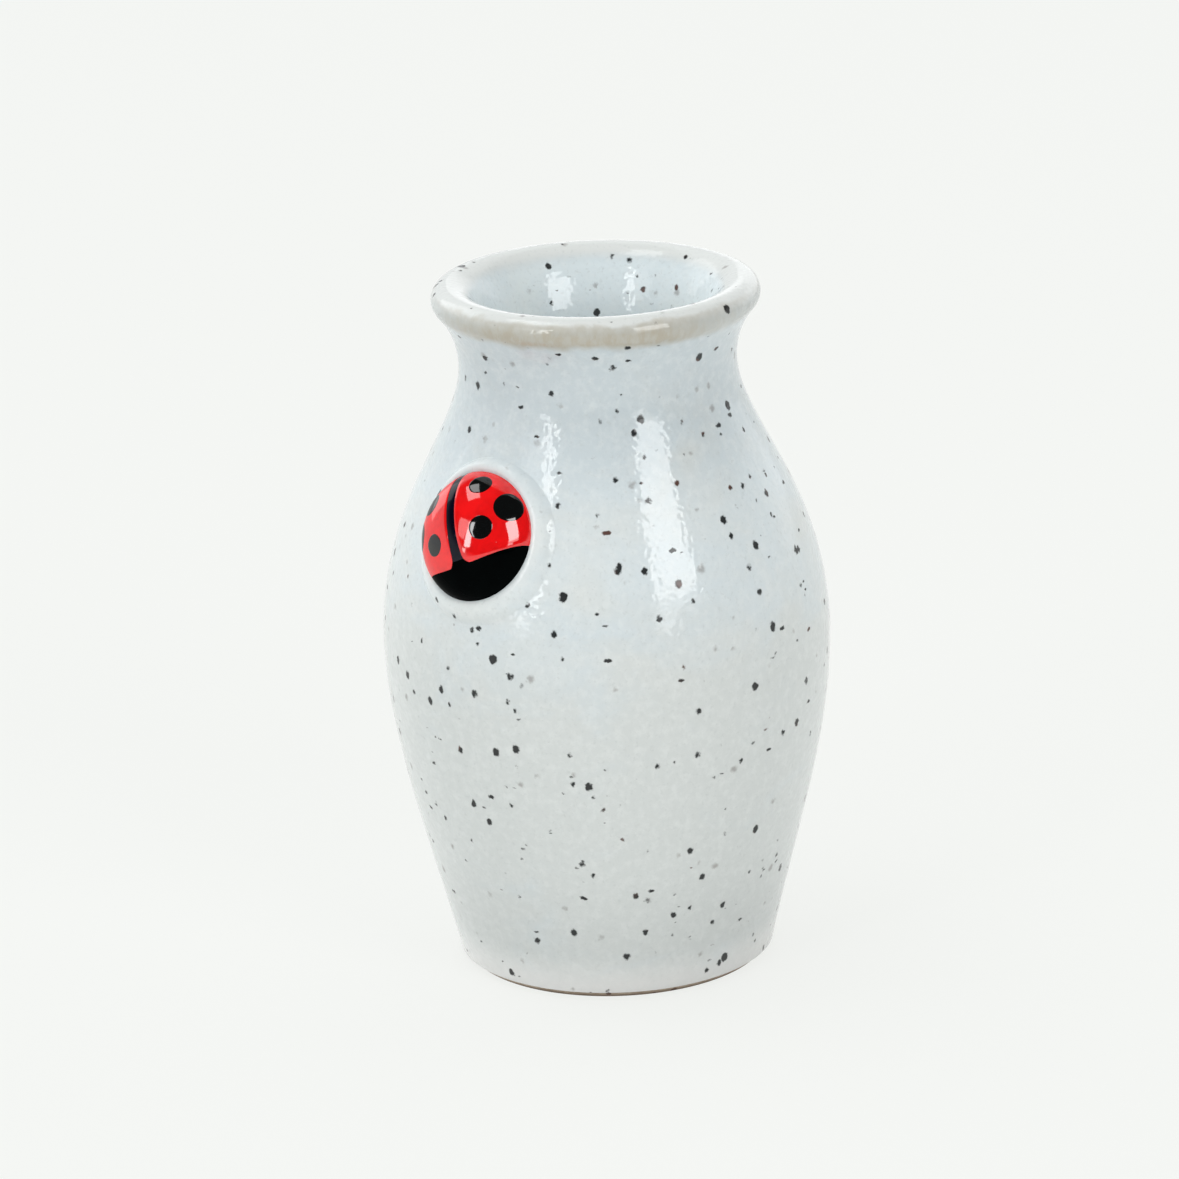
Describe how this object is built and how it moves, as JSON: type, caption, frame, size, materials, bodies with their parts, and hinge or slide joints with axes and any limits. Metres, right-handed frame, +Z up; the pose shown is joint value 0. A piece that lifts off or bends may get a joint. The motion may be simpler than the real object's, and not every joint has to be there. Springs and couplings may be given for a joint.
{
  "type": "ceramic bud vase",
  "caption": "Small thrown stoneware bud vase with a rounded belly, waisted neck and rolled flaring lip, speckled glaze and a domed ladybug set in its shoulder.",
  "frame": {"origin": "middle of the flat foot, on the axis of the pot", "axes": "+Z up the axis of the pot, the ladybug faces -Y, +X to the right when facing it"},
  "size_m": [0.0513, 0.0522, 0.08],
  "materials": {
    "stoneware": "bare fired speckled stoneware, matt",
    "speckled_glaze": "glossy pale blue-grey glaze with dark iron specks, tan where it breaks over the lip",
    "setting_cement": "thin bed of pale cement",
    "porcelain": "white clay under the enamel",
    "red_enamel": "deep gloss red",
    "black_enamel": "deep gloss black"
  },
  "bodies": {
    "root": {"vase_body": "stoneware", "bezel_collar": "stoneware", "outer_glaze": "speckled_glaze", "liner_glaze": "speckled_glaze", "setting_bed": "setting_cement", "ladybug_core": "porcelain", "head_enamel": "black_enamel", "wing_seam": "black_enamel", "wing_right": "red_enamel", "wing_left": "red_enamel", "spot_right_tail": "black_enamel", "spot_right_side": "black_enamel", "spot_right_front": "black_enamel", "spot_left_tail": "black_enamel", "spot_left_side": "black_enamel", "spot_left_front": "black_enamel"}
  },
  "joints": []
}
